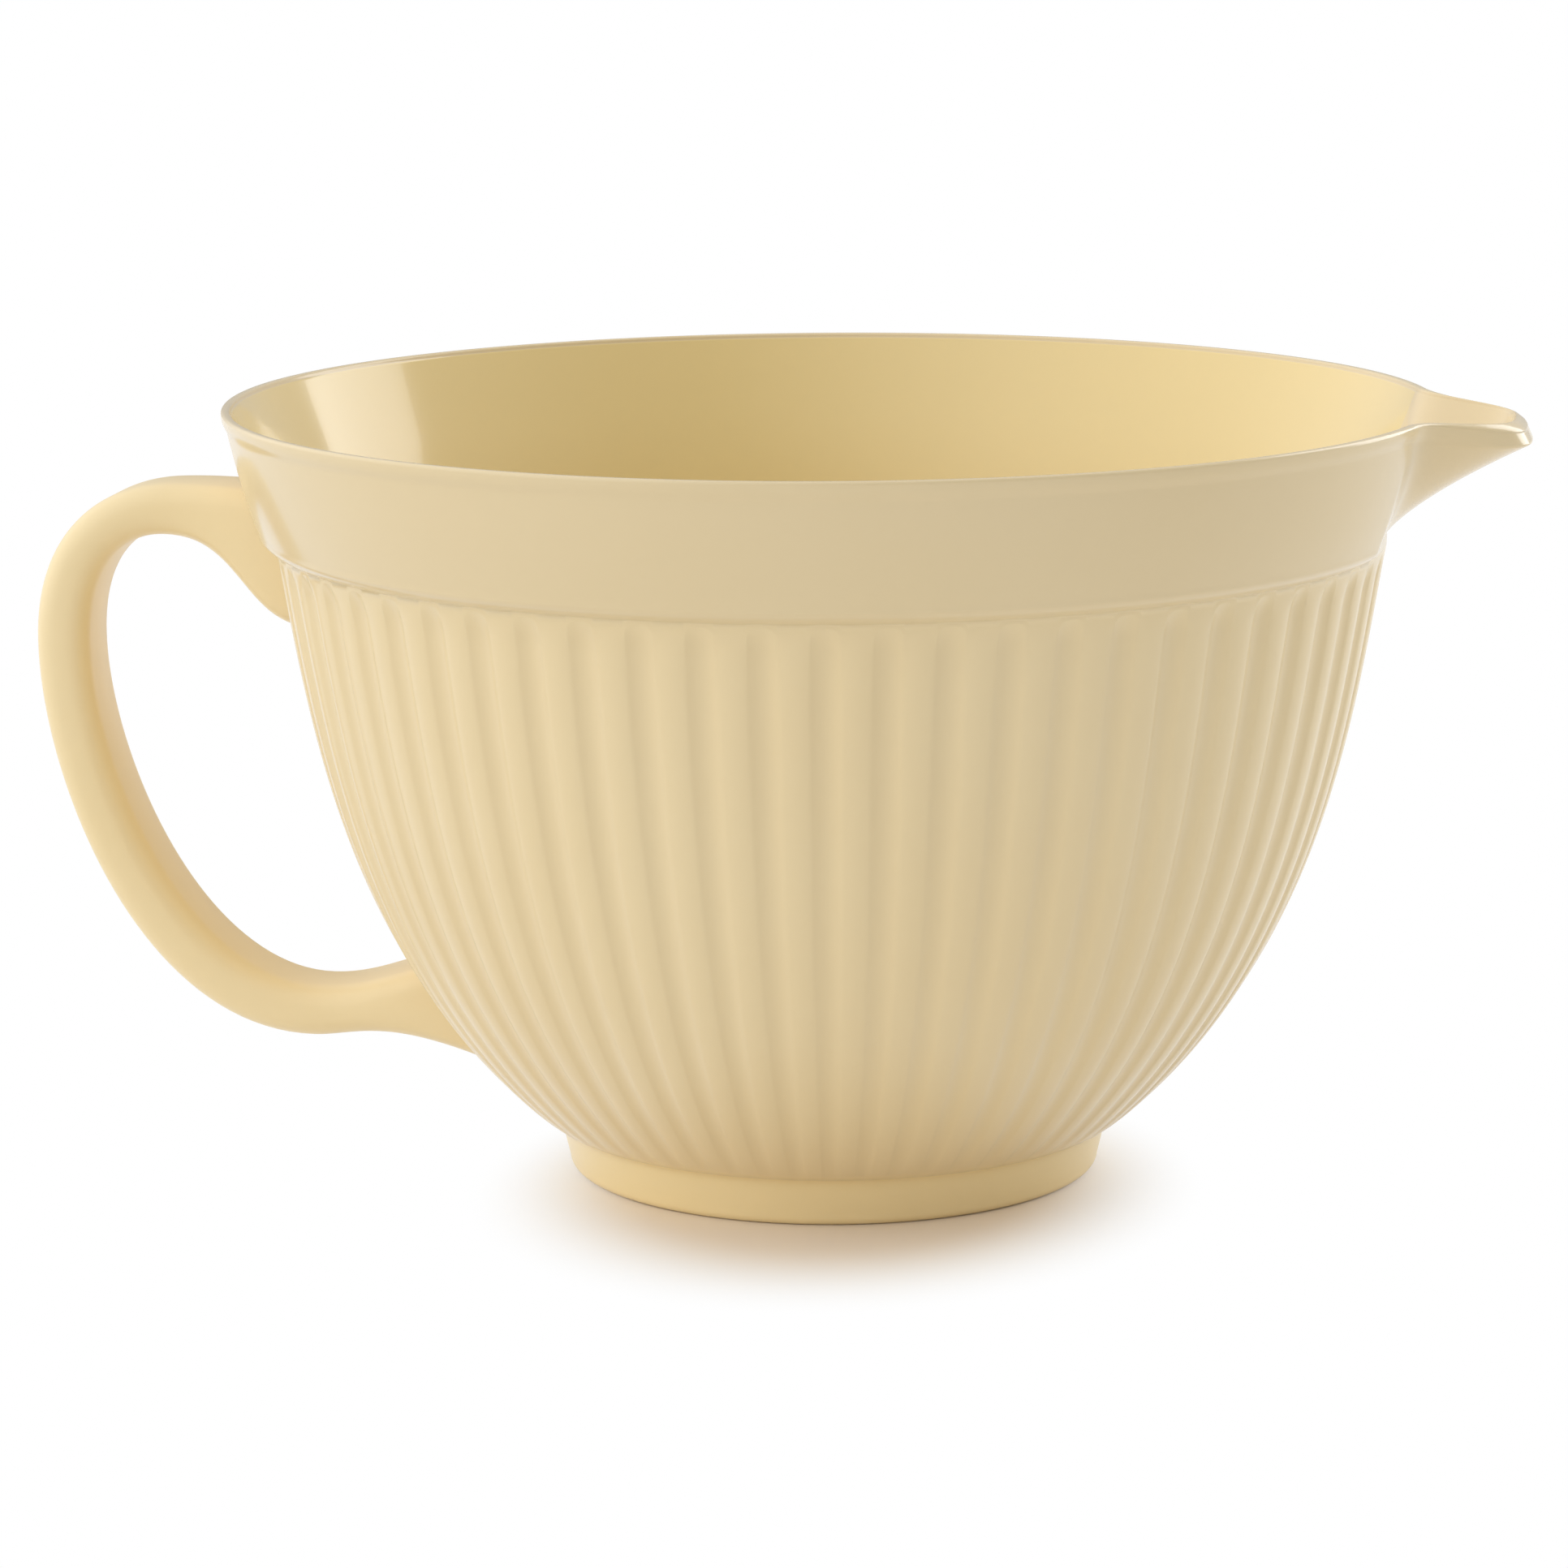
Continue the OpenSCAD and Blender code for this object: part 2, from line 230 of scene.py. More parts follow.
edge_a = np.radians(np.linspace(0, 90, 10))
collar_edge = np.column_stack([WALL_R + EDGE_START + (COLLAR_STEP - EDGE_START) * np.sin(edge_a),
                               WALL_TOP + EDGE_RISE * (EDGE_SLOPE * np.sin(edge_a)
                                                       + (1 - EDGE_SLOPE) * (1 - np.cos(edge_a)))])
collar_t = np.concatenate([np.linspace(0.045, 0.955, 22), [0.98, 1.0]])
edge_r = WALL_R + COLLAR_STEP
collar_face = np.column_stack([
    edge_r + (NECK_R - edge_r) * (collar_t + COLLAR_BULGE * collar_t * (1 - collar_t)),
    WALL_TOP + EDGE_RISE + (COLLAR_H - EDGE_RISE) * collar_t])
collar_part = np.vstack([collar_edge, collar_face])

lip_flare = bezier([[NECK_R, COLLAR_TOP], [NECK_R + 0.35, COLLAR_TOP + 1.1],
                    [RIM_R - 0.02, COLLAR_TOP + 1.5], [RIM_R, BOWL_H - LIP_ROUND]],
                   np.array([0.06, 0.14, 0.26, 0.4, 0.55, 0.7, 0.85, 0.95, 1.0]))
lip_outer_edge = arc(RIM_R - LIP_ROUND, BOWL_H - LIP_ROUND, LIP_ROUND, 0, 90, 7)[1:]
lip_inner_edge = arc(MOUTH_R + LIP_ROUND, BOWL_H - LIP_ROUND, LIP_ROUND, 90, 180, 7)
lip_crown = np.vstack([lip_outer_edge, lip_inner_edge])

inside_z = np.concatenate([
    [INSIDE_TOP + 0.3, INSIDE_TOP], np.linspace(INSIDE_TOP - 0.8, 140.0, 12),
    np.linspace(138.8, WALL_TOP, 11)])
inside_collar = np.column_stack([inside_r(inside_z), inside_z])
inside_low_z = np.concatenate([np.linspace(122.0, 34.0, 20), [30.5, 27.0, 24.0, 21.0, INNER_LOW_Z]])
inside_wall = np.column_stack([inside_r(inside_low_z), inside_low_z])
low_r = float(inside_r(INNER_LOW_Z))
inside_turn = bezier([[low_r, INNER_LOW_Z], [low_r - 4.1, FLOOR_TOP + 1.98],
                      [54.3, FLOOR_TOP], [48.0, FLOOR_TOP]], np.linspace(0, 1, 11))[1:]
floor_part = np.vstack([inside_turn[5:], [[42.0, FLOOR_TOP], [33.0, FLOOR_TOP], [22.0, FLOOR_TOP],
                                          [11.0, FLOOR_TOP], [3.0, FLOOR_TOP], [0.0, FLOOR_TOP]]])

outline_parts = [underside, foot_part, wall_part, collar_part, lip_flare, lip_crown,
                 inside_collar, np.vstack([inside_wall, inside_turn[:5]]), floor_part]
outline = np.vstack(outline_parts)
part_end = np.cumsum([len(p) for p in outline_parts])
(UNDER, FOOT, WALL, COLLAR, FLARE, CROWN, IN_COLLAR, IN_WALL, FLOOR) = range(9)


def rows_of(first, last=None):
    """Row numbers of one part of the outline, or of several in a run."""
    start = part_end[first - 1] if first else 0
    return np.arange(start, part_end[first if last is None else last])


def run_of(first, last=None):
    """The same rows with the next part's first one, so that neighbours share their seam."""
    rows = rows_of(first, last)
    return np.append(rows, rows[-1] + 1) if rows[-1] + 1 < len(outline) else rows


# ---- the bowl's surface: the outline carried round, fluted and drawn out to the spout ----

flute_stops = np.array([0, 0.12, 0.2, 0.24, 0.28, 0.35, 0.43, 0.5,
                        0.57, 0.65, 0.72, 0.76, 0.8, 0.88])
COLUMNS = FLUTES * len(flute_stops)
column_turn = FLUTE_TURN + 360 / FLUTES * (
    np.arange(FLUTES)[:, None] + flute_stops[None, :]).ravel()
column_turn = (column_turn + 180.0) % 360.0 - 180.0
column_turn = np.sort(column_turn)


def flute_shape(turn):
    """Drop of the wall across a flute as a share of its depth, in two parts: the ridge's own
    crown, and the groove beyond its edge. The slope grows along the ridge, jumps at its edge
    and falls back to nothing in the middle of the groove. Also how far across the groove."""
    q = np.abs(((turn - FLUTE_TURN) * FLUTES / 360.0 + 0.5) % 1.0 - 0.5)
    half = RIDGE_SHARE / 2
    fine = np.linspace(0.0, 0.5, 2001)
    crown_slope, groove_slope, corner = 0.34, 1.0, 0.018
    on_groove = smooth((fine - half + corner) / (2 * corner))
    slope = (crown_slope * fine / half * (1 - on_groove)
             + groove_slope * (0.5 - fine) / (0.5 - half) * on_groove)
    drop = np.concatenate([[0.0], np.cumsum((slope[1:] + slope[:-1]) / 2)])
    drop /= drop[-1]
    whole = np.interp(q, fine, drop)
    ridge = np.minimum(whole, np.interp(half, fine, drop))
    across = np.clip((0.5 - q) / (0.5 - half), 0.0, 1.0)
    return ridge, whole - ridge, across


def bump(turn, half):
    """A bump of height 1 in the spout's middle, exactly 0 beyond the spout's ends."""
    return (np.exp(-(np.abs(turn) / half) ** BUMP_POWER)
            * smooth((SPOUT_EDGE - np.abs(turn)) / END_FADE))


def half_at(z, narrow, end_z):
    """Half angle of the spout at height z: narrow at the foot of a slope, full at its end."""
    return SPOUT_HALF * (narrow + (1 - narrow) * rise(z) / rise(end_z))


def soft_min(a, b, width):
    """The smaller of two values, with the corner between them rounded over a width."""
    h = np.clip(0.5 + 0.5 * (b - a) / width, 0.0, 1.0)
    return b * (1 - h) + a * h - width * h * (1 - h)


def opening(z):
    """How far the spout has opened: 0 low on the collar, 1 at the lip."""
    share = (rise(z) - SPOUT_FOOT) / (rise(COLLAR_TOP) - SPOUT_FOOT)
    return np.clip(soft_min(np.maximum(share, 0.0) ** OPENING_POWER, 1.0, 0.035), 0.0, 1.0)


def push(turn, r, z):
    """How far the outside moves out at the spout. It takes the collar's step away low down,
    and opens towards the lip."""
    step = np.clip(r - WALL_R - EDGE_START, 0.0, COLLAR_STEP - EDGE_START)
    return ((SPOUT_REACH + TIP_LEAD) * opening(z) * bump(turn, half_at(z, FOOT_NARROW, BOWL_H))
            - step * (1 - opening(z)) * bump(turn, STEP_SPAN * SPOUT_HALF))


def channel(turn, z):
    """How far the inside moves out along the spout's channel."""
    share = np.clip((rise(z) - CHANNEL_FOOT) / (CHANNEL_FULL - CHANNEL_FOOT), 0.0, 1.0)
    return ((SPOUT_REACH - TIP_BACK) * share ** CHANNEL_POWER * (3 - share) / 2
            * bump(turn, half_at(z, CHANNEL_NARROW, INSIDE_TOP)))


def bowl_surface():
    """Radius and height of every point of the bowl, rows along the outline and columns round it.
    Wall rows drop into the flutes, and the rows above them follow the spout."""
    turn = column_turn[None, :]
    r = np.repeat(outline[:, :1], COLUMNS, 1)
    z = np.repeat(outline[:, 1:], COLUMNS, 1)

    # Rows near the top of the wall bend down beside the ridges, so that they follow each arch.
    k = rows_of(WALL)
    ridge, groove, across = flute_shape(column_turn)
    arch = ARCH_SIDE * (1 - (1 - across ** ARCH_POWER) ** (1 / ARCH_POWER))
    nominal = z[k]
    near_top = smooth((nominal - (ARCH_TOP - 14.0)) / 14.0)
    above = np.clip((nominal - ARCH_TOP) / (WALL_TOP - ARCH_TOP), 0.0, 1.0)
    zz = nominal - arch[None, :] * np.where(nominal > ARCH_TOP, 1 - above, near_top)
    rr = np.where(nominal >= WALL_FOOT_Z, ridge_r(zz), r[k])
    below_arch = (ARCH_TOP - arch[None, :]) - zz
    depth = FLUTE_DEPTH * (rr / WALL_R) * round_in((zz - WALL_FOOT_Z + 0.4) / 13.0)
    crown_fade = smooth((WALL_TOP - zz) / 6.0)
    rr = rr - depth * (ridge[None, :] * crown_fade
                       + groove[None, :] * level_out(below_arch / ARCH_LEN))
    r[k], z[k] = rr, zz

    # The outside of the collar and lip at the spout.
    k = rows_of(COLLAR, FLARE)
    r0, z0 = outline[k, :1], outline[k, 1:]
    upright = np.maximum(0, r0 - NECK_R) + LIP_BACK * np.maximum(0, (z0 - COLLAR_TOP) / LIP_H)
    r[k] = r0 + push(turn, r0, z0) - upright * bump(turn, SPOUT_HALF)
    z[k] = z0 - SPOUT_DIP * rise(z0) ** 2 * bump(turn, SPOUT_HALF)

    # The top of the lip: it slopes down outwards at the spout.
    k = rows_of(CROWN)
    t = ((RIM_R - outline[k, :1]) / RIM_T).clip(0, 1)
    w = bump(turn, SPOUT_HALF)
    r[k] = outline[k, :1] + (SPOUT_REACH - TIP_EDGE - (TIP_BACK - TIP_EDGE) * t) * w
    z[k] = outline[k, 1:] - (SPOUT_DIP - TIP_LIFT * t) * w

    # The inside, with the channel that leads to the spout.
    k = rows_of(IN_COLLAR)
    z0 = outline[k, 1:]
    r[k] = outline[k, :1] + channel(turn, z0)
    z[k] = z0 - (SPOUT_DIP - TIP_LIFT) * rise(z0) ** 2 * w
    return r, z


def as_points(r, turn, z):
    """Points from radius, angle in degrees and height, in millimetres."""
    a = np.radians(turn)
    return np.stack([r * np.cos(a), r * np.sin(a), z + 0 * r], -1)


def slope_along(points, axis, closed):
    """Direction of a grid along one axis at every point, fair where the steps are uneven."""
    if closed:
        ahead = np.roll(points, -1, axis) - points
        behind = points - np.roll(points, 1, axis)
    else:
        step = np.diff(points, axis=axis)
        first = np.take(step, [0], axis)
        last = np.take(step, [-1], axis)
        ahead = np.concatenate([step, last], axis)
        behind = np.concatenate([first, step], axis)
    la = np.maximum(np.linalg.norm(ahead, axis=-1, keepdims=True), 1e-9)
    lb = np.maximum(np.linalg.norm(behind, axis=-1, keepdims=True), 1e-9)
    return ahead / la * lb / (la + lb) + behind / lb * la / (la + lb)


def grid_normals(points, closed_rows, closed_columns, outward=1.0):
    """Unit normals of a grid from its two directions."""
    n = np.cross(slope_along(points, 1, closed_columns), slope_along(points, 0, closed_rows))
    length = np.linalg.norm(n, axis=-1, keepdims=True)
    return outward * n / np.maximum(length, 1e-12)


bowl_r, bowl_z = bowl_surface()
bowl_points = as_points(bowl_r, column_turn[None, :], bowl_z)
bowl_normals = grid_normals(bowl_points, False, True)
for pole, way in ((0, -1.0), (len(outline) - 1, 1.0)):
    bowl_normals[pole] = [0.0, 0.0, way]


# ---- meshes ----

def put_piece(name, points, normals, faces, flat_faces, materials, slots_of_faces, slot, *nodes):
    """Makes a mesh in metres from points in millimetres. Faces are tuples of point numbers;
    the ones in flat_faces are joint faces with their own flat normal."""
    mesh = bpy.data.meshes.new(name)
    mesh.from_pydata((points * MM).tolist(), [], faces + flat_faces)
    for material in materials:
        mesh.materials.append(material)
    index = np.zeros(len(mesh.polygons), np.int32)
    index[:len(slots_of_faces)] = slots_of_faces
    mesh.polygons.foreach_set("material_index", index)
    mesh.polygons.foreach_set("use_smooth", np.ones(len(mesh.polygons), bool))
    mesh.update()
    corner = np.empty(len(mesh.loops), np.int32)
    mesh.loops.foreach_get("vertex_index", corner)
    corner_normals = normals[corner]
    start = np.empty(len(mesh.polygons), np.int32)
    count = np.empty(len(mesh.polygons), np.int32)
    mesh.polygons.foreach_get("loop_start", start)
    mesh.polygons.foreach_get("loop_total", count)
    face_normals = np.empty(len(mesh.polygons) * 3)
    mesh.polygons.foreach_get("normal", face_normals)
    face_normals = face_normals.reshape(-1, 3)
    first_flat = start[len(faces)] if flat_faces else len(corner)
    owner = np.repeat(np.arange(len(mesh.polygons)), count)
    corner_normals[first_flat:] = face_normals[owner[first_flat:]]
    mesh.normals_split_custom_set(corner_normals.tolist())
    piece = bpy.data.objects.new(name, mesh)
    bpy.context.scene.collection.objects.link(piece)
    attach(piece, "root")
    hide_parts(*nodes)
    return piece


def strip_faces(lower, upper, closed):
    """Quads between two rows of point numbers."""
    a, b = (np.append(lower, lower[0]), np.append(upper, upper[0])) if closed else (lower, upper)
    return np.column_stack([a[:-1], a[1:], b[1:], b[:-1]])


def bowl_piece(name, runs, columns, materials, run_slots, slot, *nodes):
    """A closed piece of the bowl: one or more runs of outline rows over some columns.
    Runs are joined by flat strips, a run that ends on the axis closes in a point, and
    a piece that doesn't go all the way round is closed by a face at each end."""
    whole = len(columns) == COLUMNS
    rows, on_axis, surface, joints, slots = [], [], [], [], []
    points, normals, made = [], [], 0
    for run in runs:
        for row in run:
            if outline[row, 0] < 1e-6:
                points.append(bowl_points[row, :1])
                normals.append(bowl_normals[row, :1])
                rows.append(np.full(len(columns), made))
                on_axis.append(True)
                made += 1
            else:
                points.append(bowl_points[row, columns])
                normals.append(bowl_normals[row, columns])
                rows.append(made + np.arange(len(columns)))
                on_axis.append(False)
                made += len(columns)
    bounds = np.cumsum([len(run) for run in runs])
    total = len(rows)
    for k in range(total):
        following = (k + 1) % total
        joint = (k + 1) in bounds
        if on_axis[k] and on_axis[following]:
            continue
        quads = strip_faces(rows[k], rows[following], whole)
        if on_axis[k]:
            quads = quads[:, [0, 2, 3]]
        elif on_axis[following]:
            quads = quads[:, [0, 1, 2]]
        if joint:
            joints += quads.tolist()
        else:
            surface += quads.tolist()
            slots += [run_slots[int(np.searchsorted(bounds, k, "right"))]] * len(quads)
    if not whole:
        joints.append([int(row[0]) for row in rows])
        joints.append([int(row[-1]) for row in rows][::-1])
    return put_piece(name, np.vstack(points), np.vstack(normals), surface, joints,
                     materials, slots, slot, *nodes)


# ---- materials ----

def new_group(name, inputs, outputs):
    """An empty shader node group with the named inputs and outputs."""
    group = bpy.data.node_groups.new(name, "ShaderNodeTree")
    for label, kind, value in inputs:
        socket = group.interface.new_socket(label, in_out="INPUT", socket_type=kind)
        socket.default_value = value
    for label, kind in outputs:
        group.interface.new_socket(label, in_out="OUTPUT", socket_type=kind)
    return group, group.nodes.new("NodeGroupInput"), group.nodes.new("NodeGroupOutput")


def noise(group, coordinates, scale, detail, roughness=0.5):
    """A noise texture on the given coordinates."""
    node = group.nodes.new("ShaderNodeTexNoise")
    node.inputs["Scale"].default_value = scale
    node.inputs["Detail"].default_value = detail
    node.inputs["Roughness"].default_value = roughness
    group.links.new(coordinates, node.inputs["Vector"])
    return node.outputs["Fac"]


def remap(group, value, low, high, to_low, to_high):
    """Maps a value from one range to another."""
    node = group.nodes.new("ShaderNodeMapRange")
    for label, number in (("From Min", low), ("From Max", high), ("To Min", to_low), ("To Max", to_high)):
        node.inputs[label].default_value = number
    group.links.new(value, node.inputs["Value"])
    return node.outputs["Result"]


def build_tone_group():
    """Colour of moulded plastic: the pigment lies a little unevenly in broad clouds, with a
    fine grain of slightly darker and lighter specks."""
    group, given, out = new_group("pigment_tone", [
        ("Tone", "NodeSocketColor", (0.8, 0.65, 0.4, 1)),
        ("Deep Tone", "NodeSocketColor", (0.75, 0.6, 0.32, 1)),
        ("Cloud", "NodeSocketFloat", 0.5)], [("Color", "NodeSocketColor")])
    place = group.nodes.new("ShaderNodeTexCoord").outputs["Object"]
    clouds = remap(group, noise(group, place, 14.0, 3.0), 0.35, 0.65, 0.0, 1.0)
    grain = remap(group, noise(group, place, 420.0, 2.0), 0.3, 0.7, -0.08, 0.08)
    both = group.nodes.new("ShaderNodeMath")
    both.operation = "ADD"
    group.links.new(clouds, both.inputs[0])
    group.links.new(grain, both.inputs[1])
    amount = group.nodes.new("ShaderNodeMath")
    amount.operation = "MULTIPLY"
    amount.use_clamp = True
    group.links.new(both.outputs[0], amount.inputs[0])
    group.links.new(given.outputs["Cloud"], amount.inputs[1])
    mix = group.nodes.new("ShaderNodeMix")
    mix.data_type = "RGBA"
    group.links.new(amount.outputs[0], mix.inputs["Factor"])
    group.links.new(given.outputs["Tone"], mix.inputs[6])
    group.links.new(given.outputs["Deep Tone"], mix.inputs[7])
    group.links.new(mix.outputs[2], out.inputs["Color"])
    return group


def build_skin_group():
    """Surface of moulded plastic: a faint ripple left by the tool, a fine grain, and broad soft
    changes in how sharply it shines, as wiping leaves them."""
    group, given, out = new_group("moulded_skin", [
        ("Roughness", "NodeSocketFloat", 0.2),
        ("Rub", "NodeSocketFloat", 0.05)],
        [("Roughness", "NodeSocketFloat"), ("Height", "NodeSocketFloat")])
    place = group.nodes.new("ShaderNodeTexCoord").outputs["Object"]
    wear = remap(group, noise(group, place, 30.0, 2.0), 0.2, 0.8, -1.0, 1.0)
    spread = group.nodes.new("ShaderNodeMath")
    spread.operation = "MULTIPLY_ADD"
    group.links.new(wear, spread.inputs[0])
    group.links.new(given.outputs["Rub"], spread.inputs[1])
    group.links.new(given.outputs["Roughness"], spread.inputs[2])
    group.links.new(spread.outputs[0], out.inputs["Roughness"])
    fine = group.nodes.new("ShaderNodeMath")
    fine.operation = "MULTIPLY_ADD"
    fine.inputs[1].default_value = 0.02
    group.links.new(noise(group, place, 700.0, 1.0), fine.inputs[0])
    group.links.new(noise(group, place, 55.0, 1.0), fine.inputs[2])
    group.links.new(fine.outputs[0], out.inputs["Height"])
    return group


tone_group = build_tone_group()
skin_group = build_skin_group()


def cream_plastic(name, tone, deep_tone, cloud, roughness, rub, ripple, coat, coat_roughness):
    """Pale cream moulded plastic. Ripple is the height of the surface's waves, in metres."""
    material = bpy.data.materials.new(name)
    material.use_nodes = True
    tree = material.node_tree
    shader = tree.nodes["Principled BSDF"]
    shader.inputs["IOR"].default_value = 1.5
    shader.inputs["Coat Weight"].default_value = coat
    shader.inputs["Coat Roughness"].default_value = coat_roughness
    colour = tree.nodes.new("ShaderNodeGroup")
    colour.node_tree = tone_group
    colour.inputs["Tone"].default_value = (*tone, 1.0)
    colour.inputs["Deep Tone"].default_value = (*deep_tone, 1.0)
    colour.inputs["Cloud"].default_value = cloud
    skin = tree.nodes.new("ShaderNodeGroup")
    skin.node_tree = skin_group
    skin.inputs["Roughness"].default_value = roughness
    skin.inputs["Rub"].default_value = rub
    bump_node = tree.nodes.new("ShaderNodeBump")
    bump_node.inputs["Strength"].default_value = 1.0
    bump_node.inputs["Distance"].default_value = ripple
    tree.links.new(colour.outputs["Color"], shader.inputs["Base Color"])
    tree.links.new(skin.outputs["Roughness"], shader.inputs["Roughness"])
    tree.links.new(skin.outputs["Height"], bump_node.inputs["Height"])
    tree.links.new(bump_node.outputs["Normal"], shader.inputs["Normal"])
    return material


# One cream plastic throughout: CREAM is the wall's tone, and the other tones are copies of it, made
# lighter, darker or more golden as painted light and shade.
CREAM = (0.800, 0.650, 0.385)
CREAM_DEEP = (0.785, 0.625, 0.355)
# the inside's copy of the cream, made more golden as painted warm light bounced inside the bowl
INSIDE_TONE_PAINTED_LIGHT = (0.815, 0.650, 0.305)
INSIDE_DEEP_PAINTED_LIGHT = (0.785, 0.625, 0.290)
# the handle's copy of the cream, made lighter as painted light
HANDLE_TONE_PAINTED_LIGHT = (0.870, 0.705, 0.410)
HANDLE_DEEP_PAINTED_LIGHT = (0.850, 0.680, 0.375)
# the foot's copy of the cream, made lighter as painted light on the foot and underside
FOOT_TONE_PAINTED_LIGHT = (0.900, 0.735, 0.410)
FOOT_DEEP_PAINTED_LIGHT = (0.885, 0.710, 0.380)
# the collar's, lip's and spout's copy of the cream, made darker as painted shade
RIM_TONE_PAINTED_SHADE = (0.745, 0.605, 0.365)
RIM_DEEP_PAINTED_SHADE = (0.730, 0.585, 0.340)

shell_cream = cream_plastic("fluted_cream", CREAM, CREAM_DEEP, 0.6, 0.35, 0.05, 0.00004, 0.45, 0.10)
# painted warm light: a more golden tone on the inside
inside_cream_painted_light = cream_plastic("inside_cream_painted_light", INSIDE_TONE_PAINTED_LIGHT, INSIDE_DEEP_PAINTED_LIGHT, 0.6, 0.15, 0.04, 0.00003, 0.35, 0.04)
# painted shade: a darker tone on the collar, lip and spout
rim_cream_painted_shade = cream_plastic("collar_cream_painted_shade", RIM_TONE_PAINTED_SHADE, RIM_DEEP_PAINTED_SHADE, 0.6, 0.20, 0.04, 0.00003, 0.3, 0.05)
# painted light: a lighter tone on the foot and underside
foot_cream_painted_light = cream_plastic("foot_cream_painted_light", FOOT_TONE_PAINTED_LIGHT, FOOT_DEEP_PAINTED_LIGHT, 0.8, 0.38, 0.06, 0.00004, 0.3, 0.15)
# painted light: a lighter tone on the handle
handle_cream_painted_light = cream_plastic("handle_cream_painted_light", HANDLE_TONE_PAINTED_LIGHT, HANDLE_DEEP_PAINTED_LIGHT, 0.7, 0.38, 0.06, 0.00004, 0.2, 0.2)


# ---- the bowl's pieces ----

all_round = np.arange(COLUMNS)
first = int(np.searchsorted(column_turn, -SPOUT_EDGE, "right")) - 1
last = int(np.searchsorted(column_turn, SPOUT_EDGE, "left"))
spout_columns = np.arange(first, last + 1)
ring_columns = np.concatenate([np.arange(last, COLUMNS), np.arange(0, first + 1)])

bowl_piece("foot_ring_piece", [run_of(FOOT)], all_round, [foot_cream_painted_light], [0], "foot", "foot_ring")
bowl_piece("bowl_floor_piece", [run_of(UNDER), run_of(FLOOR)], all_round,
           [foot_cream_painted_light, inside_cream_painted_light], [0, 1], "inner_shell", "bowl_floor")
bowl_piece("fluted_wall_piece", [run_of(WALL), run_of(IN_WALL)], all_round,
           [shell_cream, inside_cream_painted_light], [0, 1], "fluted_shell", "fluted_wall")
bowl_piece("rim_collar_piece", [run_of(COLLAR), run_of(IN_COLLAR)], ring_columns,
           [rim_cream_painted_shade, inside_cream_painted_light], [0, 1], "collar", "rim_collar")
bowl_piece("rim_lip_piece", [run_of(FLARE, CROWN)], ring_columns, [rim_cream_painted_shade], [0], "lip", "rim_lip")
bowl_piece("pouring_spout_piece", [run_of(COLLAR, IN_COLLAR)], spout_columns,
           [rim_cream_painted_shade], [0], "spout", "pouring_spout")


# ---- the handle, drawn on the -X side as distance from the axis and height ----

GRIP_TOP_Z = HANDLE_TOP - 0.0
WIDE_Z = 104.05
SHOULDER_R = 135.0
HEEL_R = 106.0
HEEL_Z = HANDLE_LOW + 10.5
ROOT_SINK = WALL_T
TOP_SEAT_Z = HANDLE_TOP - ROOT_H
TOE_Z = 17.1
top_seat_r = float(ridge_r(TOP_SEAT_Z)) - ROOT_SINK
toe_r = float(ridge_r(TOE_Z)) - ROOT_SINK
inner_top_z = HANDLE_TOP - 10.3

outer_curves = [
    [[top_seat_r, 134.7], [116.0, 135.9], [126.0, 137.0], [SHOULDER_R, HANDLE_TOP]],
    [[SHOULDER_R, HANDLE_TOP], [150.0, 135.4], [HOLD_R, 124.55], [HOLD_R, WIDE_Z]],
    [[HOLD_R, WIDE_Z], [HOLD_R, 74.05], [142.0, HANDLE_LOW], [HEEL_R, HANDLE_LOW]],
    [[HEEL_R, HANDLE_LOW], [97.0, HANDLE_LOW], [90.0, 29.1], [toe_r, TOE_Z]]]
inner_curves = [
    [[top_seat_r, TOP_SEAT_Z], [118.5, TOP_SEAT_Z], [118.0, inner_top_z], [SHOULDER_R, inner_top_z]],
    [[SHOULDER_R, inner_top_z], [144.5, inner_top_z], [HOLD_R - GRIP_T, 118.55],
     [HOLD_R - GRIP_T, WIDE_Z]],
    [[HOLD_R - GRIP_T, WIDE_Z], [HOLD_R - GRIP_T, 78.05], [132.0, HEEL_Z], [104.5, HEEL_Z]],
    [[104.5, HEEL_Z], [97.0, HEEL_Z], [92.0, 36.0], [80.0, 40.0]]]
curve_steps = [26, 30, 40, 26]


def oblong_ring(count_round, count_flat):
    """A rounded oblong's outline, once round from one corner: for each point the way to its
    corner's centre (across, deep) as -1 or 1, and the way out from that centre."""
    corner, out = [], []
    for index, (side, deep) in enumerate(((1, 1), (-1, 1), (-1, -1), (1, -1))):
        a = np.radians(np.linspace(0, 90, count_round) + 90 * index)
        corner += [(side, deep)] * count_round
        out += np.column_stack([np.cos(a), np.sin(a)]).tolist()
    return np.array(corner, float), np.array(out)


def handle_sections(outer, inner, width, edge):
    """Rings of the handle: for each pair of outer and inner points a rounded oblong is set
    between them, width across and with edges rounded by the given radius. The faces between the
    corners are left flat."""
    corner, out = oblong_ring(9, 0)
    middle = (outer + inner) / 2
    deep = outer - inner
    thick = np.linalg.norm(deep, axis=1)
    deep = deep / thick[:, None]
    radius = np.minimum(edge, 0.46 * thick)
    across = corner[None, :, 0] * (width / 2 - radius)[:, None] + out[None, :, 0] * radius[:, None]
    depth = corner[None, :, 1] * (thick / 2 - radius)[:, None] + out[None, :, 1] * radius[:, None]
    distance = middle[:, :1] + deep[:, :1] * depth
    height = middle[:, 1:] + deep[:, 1:] * depth
    return np.stack([-distance, across, height], -1)


